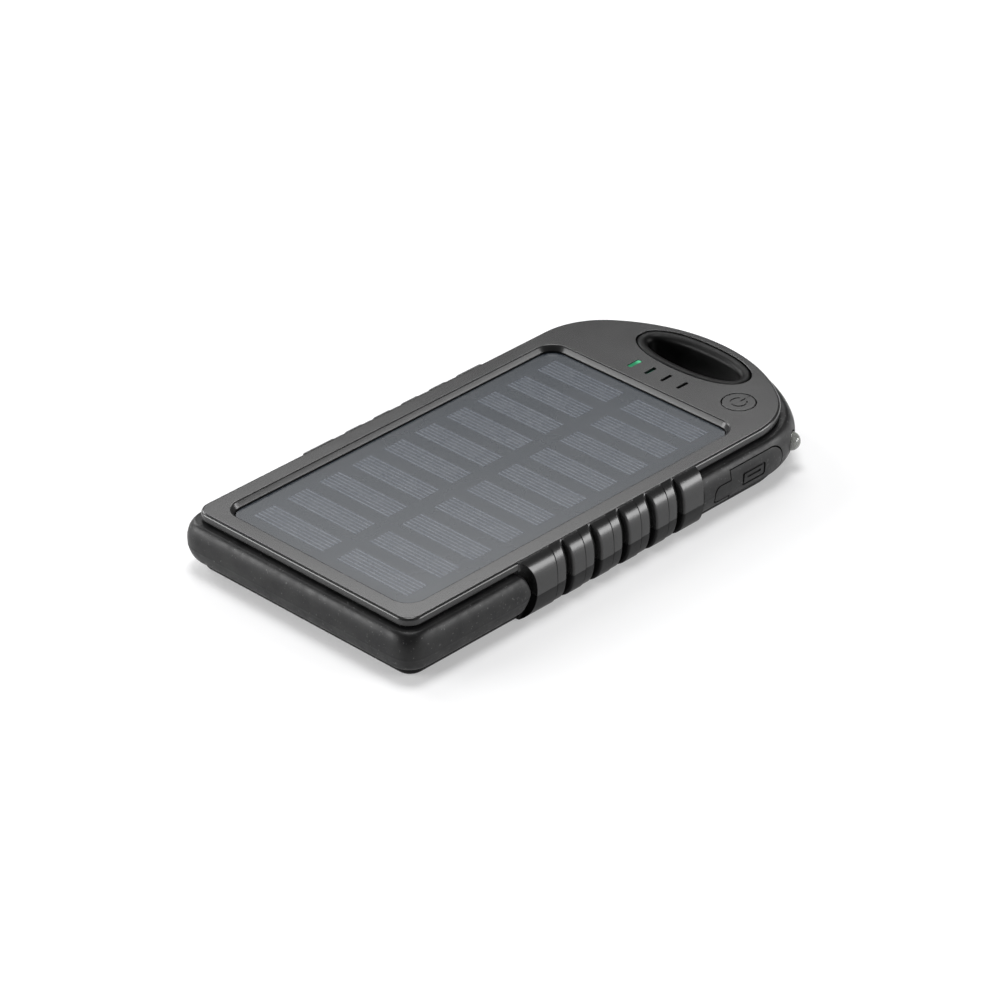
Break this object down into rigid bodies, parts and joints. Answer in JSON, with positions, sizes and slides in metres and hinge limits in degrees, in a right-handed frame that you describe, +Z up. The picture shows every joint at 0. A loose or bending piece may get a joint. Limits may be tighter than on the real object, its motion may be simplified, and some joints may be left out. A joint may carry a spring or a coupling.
{
  "type": "solar phone charger",
  "caption": "Flat handheld solar power bank with a framed solar panel, rubber bumpers, ribbed grips, a carabiner loop, a port flap and a corner torch.",
  "frame": {"origin": "middle of the footprint, on the surface that the charger lies on", "axes": "+Z up through the solar panel, +Y along the long side towards the carabiner loop, +X towards the side with the port flap"},
  "size_m": [0.075, 0.1442, 0.015],
  "materials": {
    "case_plastic": "black, satin to semi-gloss moulded plastic",
    "bumper_rubber": "black, matt, slightly dusty soft rubber",
    "panel_film": "clear, smooth laminate over the cells",
    "panel_board": "near-black backing board",
    "solar_cell": "dark blue-grey silicon with fine silver fingers",
    "light_pipe": "smoked clear window, the first one lit green",
    "circuit_board": "green solder mask",
    "shell_metal": "plated steel socket shell",
    "port_tongue": "black contact tongue",
    "chip_plastic": "black moulded package",
    "led_body": "white package",
    "torch_lens": "clear domed lens",
    "battery_pouch": "silver laminated pouch",
    "foam_tape": "black foam tape",
    "screw_steel": "blackened steel",
    "wire_red": "red insulation",
    "wire_black": "black insulation"
  },
  "bodies": {
    "case": {"front_cover": "case_plastic", "back_cover": "case_plastic", "bumper_bottom": "bumper_rubber", "bumper_top": "bumper_rubber", "loop_liner": "bumper_rubber", "panel_board": "panel_board", "panel_film": "panel_film", "solar_cell_01": "solar_cell", "solar_cell_02": "solar_cell", "solar_cell_03": "solar_cell", "solar_cell_04": "solar_cell", "solar_cell_05": "solar_cell", "solar_cell_06": "solar_cell", "solar_cell_07": "solar_cell", "solar_cell_08": "solar_cell", "solar_cell_09": "solar_cell", "solar_cell_10": "solar_cell", "solar_cell_11": "solar_cell", "solar_cell_12": "solar_cell", "solar_cell_13": "solar_cell", "solar_cell_14": "solar_cell", "solar_cell_15": "solar_cell", "solar_cell_16": "solar_cell", "solar_cell_17": "solar_cell", "solar_cell_18": "solar_cell", "solar_cell_19": "solar_cell", "solar_cell_20": "solar_cell", "light_pipe_1": "light_pipe", "light_pipe_2": "light_pipe", "light_pipe_3": "light_pipe", "light_pipe_4": "light_pipe", "status_led_1": "led_body", "status_led_2": "led_body", "status_led_3": "led_body", "status_led_4": "led_body", "main_board": "circuit_board", "indicator_board": "circuit_board", "battery_board": "circuit_board", "usb_a_shell": "shell_metal", "micro_usb_shell": "shell_metal", "usb_a_tongue": "port_tongue", "micro_usb_tongue": "port_tongue", "switch_body": "chip_plastic", "charge_chip": "chip_plastic", "torch_led": "torch_lens", "battery_cell": "battery_pouch", "battery_pad": "foam_tape", "cover_screw_1": "screw_steel", "cover_screw_2": "screw_steel", "cover_screw_3": "screw_steel", "cover_screw_4": "screw_steel", "board_screw_1": "screw_steel", "board_screw_2": "screw_steel", "panel_wire_pos": "wire_red", "battery_wire_pos": "wire_red", "panel_wire_neg": "wire_black", "battery_wire_neg": "wire_black"},
    "button": {"power_button": "case_plastic"},
    "stem": {"switch_stem": "led_body"},
    "flap": {"usb_flap": "bumper_rubber"}
  },
  "joints": [
    {"name": "button_press", "type": "slide", "parent": "case", "child": "button", "axis": [0, 0, -1], "range_m": [0, 0.0004], "stiffness_N_per_m": 800, "springref_m": -0.0004},
    {"name": "stem_press", "type": "slide", "parent": "case", "child": "stem", "axis": [0, 0, -1], "range_m": [0, 0.0004]},
    {"name": "flap_hinge", "type": "hinge", "parent": "case", "child": "flap", "pos_m": [0.03683, 0.05033, 0.0075], "axis": [0, 0, 1], "range_deg": [0, 120]}
  ],
  "couplings": [
    {"joint": "stem_press", "follows": "button_press", "ratio": 1}
  ]
}
